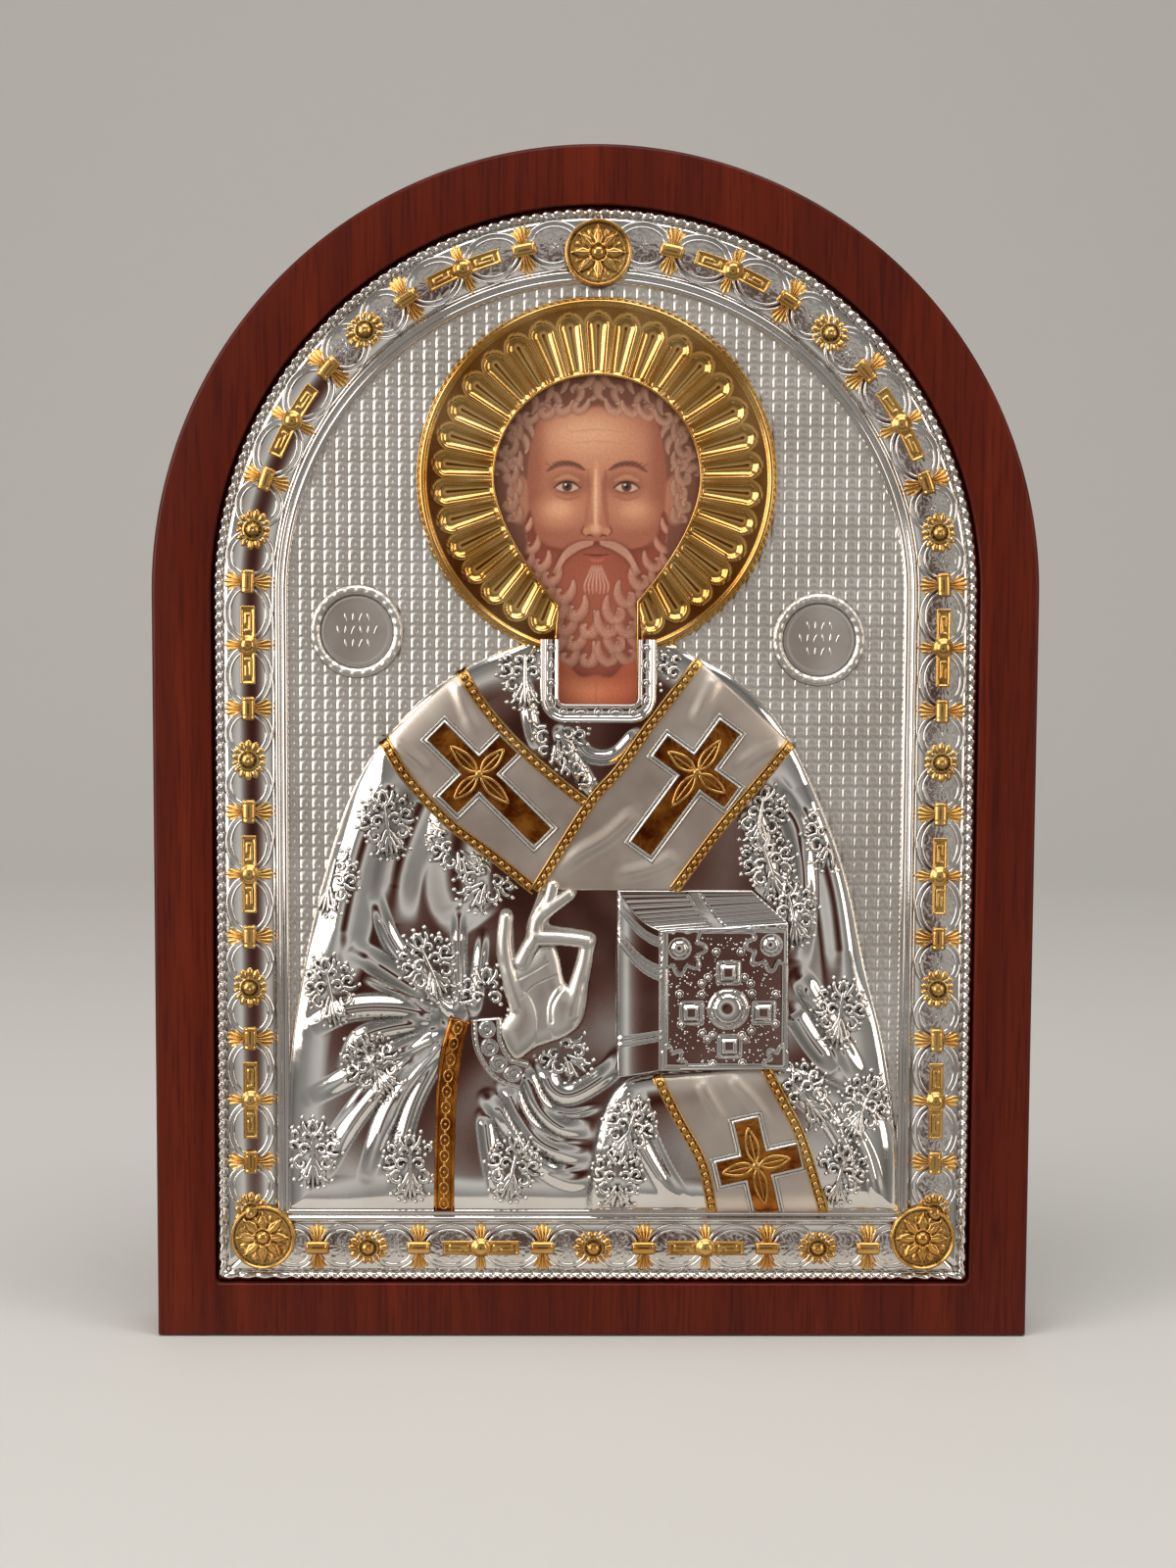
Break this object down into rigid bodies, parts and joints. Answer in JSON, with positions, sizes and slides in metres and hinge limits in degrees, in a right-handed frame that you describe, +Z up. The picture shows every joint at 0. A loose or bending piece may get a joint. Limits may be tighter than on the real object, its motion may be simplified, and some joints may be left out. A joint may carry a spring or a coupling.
{
  "type": "icon panel",
  "caption": "Arched wooden icon panel with a pressed silver and gilt cover of a half-length bishop-saint and a window showing a painted face.",
  "frame": {"origin": "centre of the wooden panel's flat underside", "axes": "+Z up along the panel's height, +X to the right seen from the front, the carved front faces -Y"},
  "size_m": [0.2, 0.0248, 0.27],
  "materials": {
    "stained wood": "mahogany stain under satin lacquer",
    "painted board": "printed and varnished picture on thin board",
    "silver and gilt sheet": "pressed sheet, polished and satin silver with gilded parts"
  },
  "bodies": {
    "root": {"wooden_panel": "stained wood", "painted_board": "painted board", "silver_cover": "silver and gilt sheet"}
  },
  "joints": []
}
